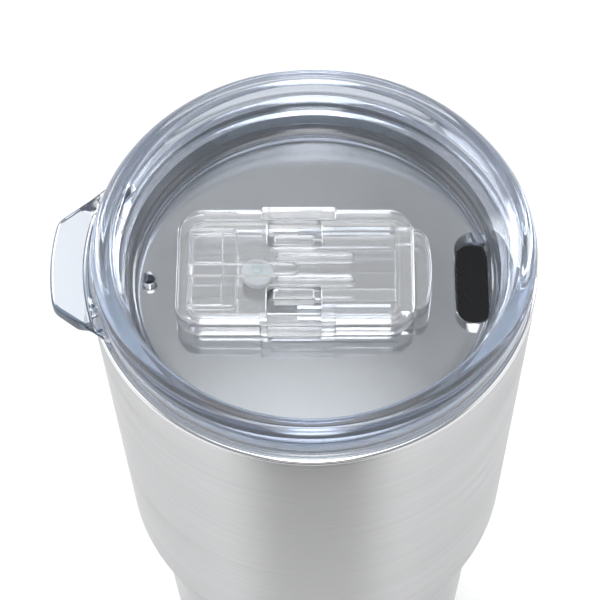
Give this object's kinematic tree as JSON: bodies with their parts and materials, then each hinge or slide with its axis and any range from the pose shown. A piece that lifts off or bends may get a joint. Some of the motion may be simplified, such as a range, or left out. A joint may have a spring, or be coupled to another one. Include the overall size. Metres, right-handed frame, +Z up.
{
  "type": "insulated tumbler",
  "caption": "Insulated double-walled steel tumbler with a stepped waist, a clear press-in lid with a pull tab, and a sliding gate that opens and closes the drink hole.",
  "frame": {"origin": "centre of the base cap's flat resting face", "axes": "+Z up through the mouth, +X from the lid's pull tab towards the drink hole, +Y completes the right-handed set"},
  "size_m": [0.1117, 0.103, 0.2045],
  "materials": {
    "brushed_wall": "fine horizontal brushing, satin",
    "polished_steel": "polished",
    "plain_steel": "mill finish",
    "getter_alloy": "sintered, matt",
    "clear_lid": "clear, polished",
    "clear_slider": "clear, polished",
    "silicone": "milky, satin"
  },
  "bodies": {
    "tumbler": {"outer_shell": "brushed_wall", "inner_liner": "polished_steel", "liner_bottom": "polished_steel", "shell_bottom": "plain_steel", "base_cap": "polished_steel", "vacuum_plug": "plain_steel", "getter_clip": "plain_steel", "getter": "getter_alloy"},
    "lid": {"lid_shell": "clear_lid", "lid_gasket": "silicone"},
    "slider": {"slider_cover": "clear_slider", "slider_gate": "clear_slider", "friction_pad": "silicone"}
  },
  "joints": [
    {"name": "lid_lift", "type": "slide", "parent": "tumbler", "child": "lid", "axis": [0, 0, 1], "range_m": [0, 0.045]},
    {"name": "gate_slide", "type": "slide", "parent": "lid", "child": "slider", "axis": [1, 0, 0], "range_m": [0, 0.0135]}
  ]
}
